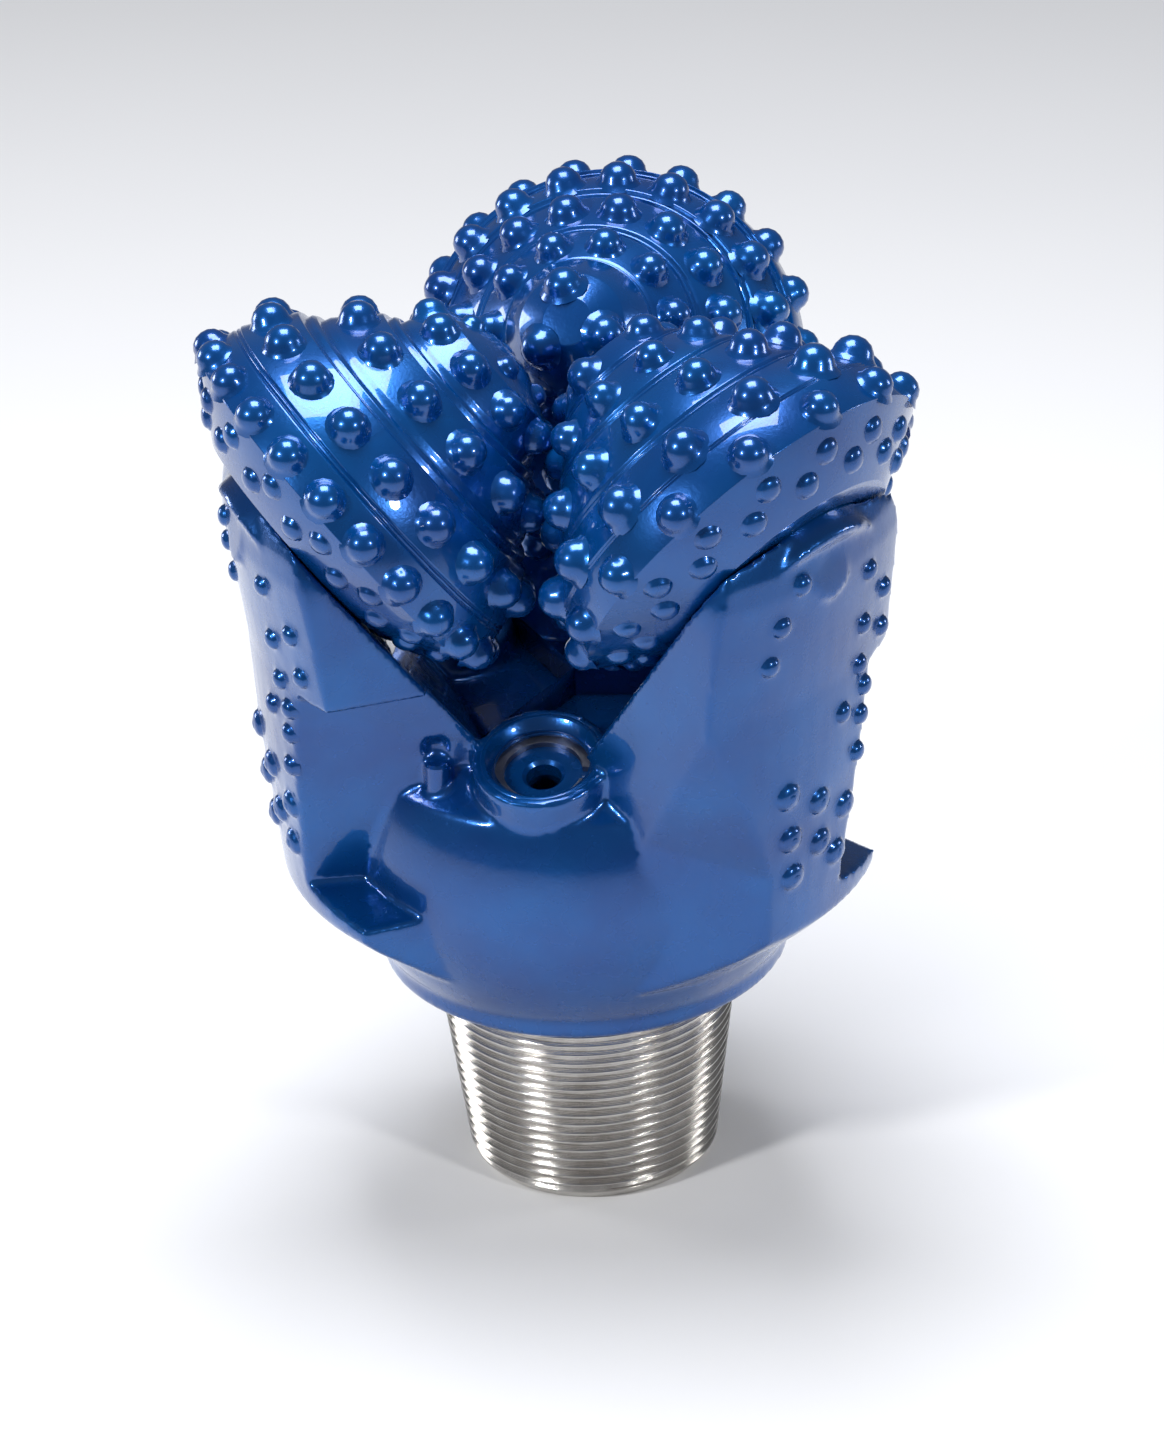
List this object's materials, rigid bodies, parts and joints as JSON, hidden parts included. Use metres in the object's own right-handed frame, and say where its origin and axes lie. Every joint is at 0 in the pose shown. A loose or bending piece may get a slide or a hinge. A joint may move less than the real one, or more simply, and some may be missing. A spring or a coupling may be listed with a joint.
{
  "type": "tricone drill bit",
  "caption": "Roller-cone rock bit: threaded pin and three-leg body carrying three carbide-studded cones that spin on tilted journals.",
  "frame": {"origin": "centre of the pin's end face, on the bit's axis", "axes": "+Z along the bit's axis from the pin towards the cones; +Y towards leg 3"},
  "size_m": [0.3996, 0.3822, 0.5594],
  "materials": {
    "leg_paint": "gloss",
    "cone_paint": "gloss",
    "leg_insert": "gloss",
    "cone_insert": "gloss",
    "plug_paint": "gloss",
    "nail_paint": "gloss",
    "nozzle_carbide": "satin",
    "spring_steel": "satin",
    "seal_rubber": "matte",
    "bearing_steel": "polished",
    "bronze": "machined",
    "hard_disc": "ground"
  },
  "bodies": {
    "bit_body": {"leg_1": "leg_paint", "leg_1_ball_plug": "plug_paint", "leg_1_wear_inserts": "leg_insert", "leg_2": "leg_paint", "leg_2_ball_plug": "plug_paint", "leg_2_wear_inserts": "leg_insert", "leg_3": "leg_paint", "leg_3_ball_plug": "plug_paint", "leg_3_wear_inserts": "leg_insert", "nozzle_1": "nozzle_carbide", "nozzle_1_nail": "nail_paint", "nozzle_1_o_ring": "seal_rubber", "nozzle_1_snap_ring": "spring_steel", "nozzle_2": "nozzle_carbide", "nozzle_2_nail": "nail_paint", "nozzle_2_o_ring": "seal_rubber", "nozzle_2_snap_ring": "spring_steel", "nozzle_3": "nozzle_carbide", "nozzle_3_nail": "nail_paint", "nozzle_3_o_ring": "seal_rubber", "nozzle_3_snap_ring": "spring_steel"},
    "cone_1": {"cone_1_gauge_inserts": "cone_insert", "cone_1_heel_inserts": "cone_insert", "cone_1_inner_inserts": "cone_insert", "cone_1_middle_inserts": "cone_insert", "cone_1_nose_bushing": "bronze", "cone_1_nose_inserts": "cone_insert", "cone_1_outer_inserts": "cone_insert", "cone_1_shell": "cone_paint", "cone_1_thrust_button": "hard_disc"},
    "rollers_1": {"bearing_1_rollers": "bearing_steel"},
    "balls_1": {"bearing_1_balls": "bearing_steel"},
    "cone_2": {"cone_2_gauge_inserts": "cone_insert", "cone_2_heel_inserts": "cone_insert", "cone_2_inner_inserts": "cone_insert", "cone_2_middle_inserts": "cone_insert", "cone_2_nose_bushing": "bronze", "cone_2_nose_inserts": "cone_insert", "cone_2_outer_inserts": "cone_insert", "cone_2_shell": "cone_paint", "cone_2_thrust_button": "hard_disc"},
    "rollers_2": {"bearing_2_rollers": "bearing_steel"},
    "balls_2": {"bearing_2_balls": "bearing_steel"},
    "cone_3": {"cone_3_gauge_inserts": "cone_insert", "cone_3_heel_inserts": "cone_insert", "cone_3_inner_inserts": "cone_insert", "cone_3_middle_inserts": "cone_insert", "cone_3_nose_bushing": "bronze", "cone_3_nose_inserts": "cone_insert", "cone_3_outer_inserts": "cone_insert", "cone_3_shell": "cone_paint", "cone_3_thrust_button": "hard_disc"},
    "rollers_3": {"bearing_3_rollers": "bearing_steel"},
    "balls_3": {"bearing_3_balls": "bearing_steel"}
  },
  "joints": [
    {"name": "cone_1_spin", "type": "hinge", "parent": "bit_body", "child": "cone_1", "pos_m": [-0.10334, -0.06371, 0.44983], "axis": [-0.7006, -0.4045, -0.5878], "continuous": true},
    {"name": "rollers_1_orbit", "type": "hinge", "parent": "bit_body", "child": "rollers_1", "pos_m": [-0.10334, -0.06371, 0.44983], "axis": [-0.7006, -0.4045, -0.5878], "continuous": true},
    {"name": "balls_1_orbit", "type": "hinge", "parent": "bit_body", "child": "balls_1", "pos_m": [-0.10334, -0.06371, 0.44983], "axis": [-0.7006, -0.4045, -0.5878], "continuous": true},
    {"name": "cone_2_spin", "type": "hinge", "parent": "bit_body", "child": "cone_2", "pos_m": [0.10684, -0.05765, 0.44983], "axis": [0.7006, -0.4045, -0.5878], "continuous": true},
    {"name": "rollers_2_orbit", "type": "hinge", "parent": "bit_body", "child": "rollers_2", "pos_m": [0.10684, -0.05765, 0.44983], "axis": [0.7006, -0.4045, -0.5878], "continuous": true},
    {"name": "balls_2_orbit", "type": "hinge", "parent": "bit_body", "child": "balls_2", "pos_m": [0.10684, -0.05765, 0.44983], "axis": [0.7006, -0.4045, -0.5878], "continuous": true},
    {"name": "cone_3_spin", "type": "hinge", "parent": "bit_body", "child": "cone_3", "pos_m": [-0.0035, 0.12135, 0.44983], "axis": [0, 0.809, -0.5878], "continuous": true},
    {"name": "rollers_3_orbit", "type": "hinge", "parent": "bit_body", "child": "rollers_3", "pos_m": [-0.0035, 0.12135, 0.44983], "axis": [0, 0.809, -0.5878], "continuous": true},
    {"name": "balls_3_orbit", "type": "hinge", "parent": "bit_body", "child": "balls_3", "pos_m": [-0.0035, 0.12135, 0.44983], "axis": [0, 0.809, -0.5878], "continuous": true}
  ],
  "couplings": [
    {"joint": "rollers_1_orbit", "follows": "cone_1_spin", "ratio": 0.554},
    {"joint": "balls_1_orbit", "follows": "cone_1_spin", "ratio": 0.5952},
    {"joint": "rollers_2_orbit", "follows": "cone_2_spin", "ratio": 0.554},
    {"joint": "balls_2_orbit", "follows": "cone_2_spin", "ratio": 0.5952},
    {"joint": "rollers_3_orbit", "follows": "cone_3_spin", "ratio": 0.554},
    {"joint": "balls_3_orbit", "follows": "cone_3_spin", "ratio": 0.5952}
  ]
}
